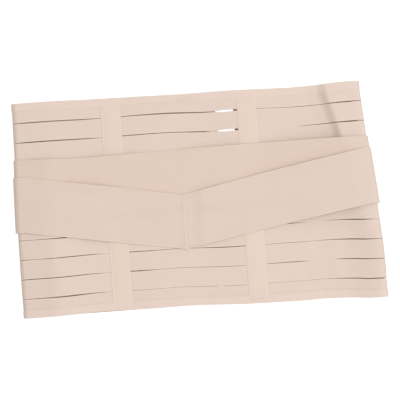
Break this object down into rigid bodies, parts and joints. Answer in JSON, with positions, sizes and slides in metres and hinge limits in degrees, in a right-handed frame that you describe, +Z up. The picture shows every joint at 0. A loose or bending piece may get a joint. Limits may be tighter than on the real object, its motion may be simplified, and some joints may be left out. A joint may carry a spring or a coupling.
{
  "type": "maternity belt",
  "caption": "Slotted elastic maternity support belt fastened into a loop and lying flat, with upright stay tapes, a straight waist band and an outer V-shaped band.",
  "frame": {"origin": "on the floor under the middle of the belt's outline", "axes": "+X along the waist towards the picture's right, +Y towards the top hem, +Z up out of the front"},
  "size_m": [0.3974, 0.2345, 0.0242],
  "materials": {
    "body_elastic": "matt knitted elastic, nude beige",
    "band_elastic": "matt elastic webbing, slightly more peach",
    "tape": "matt woven tape, a little lighter"
  },
  "bodies": {
    "root": {"strip_01": "body_elastic", "strip_02": "body_elastic", "strip_03": "body_elastic", "strip_04": "body_elastic", "strip_05": "body_elastic", "strip_06": "body_elastic", "strip_07": "body_elastic", "strip_08": "body_elastic", "strip_09": "body_elastic", "strip_10": "body_elastic", "strip_11": "body_elastic", "stay_tape_left": "tape", "stay_tape_right": "tape", "end_binding_left": "tape", "end_binding_right": "tape", "waist_band": "band_elastic", "v_band_left": "body_elastic", "v_band_right": "body_elastic", "v_seam": "body_elastic"}
  },
  "joints": []
}
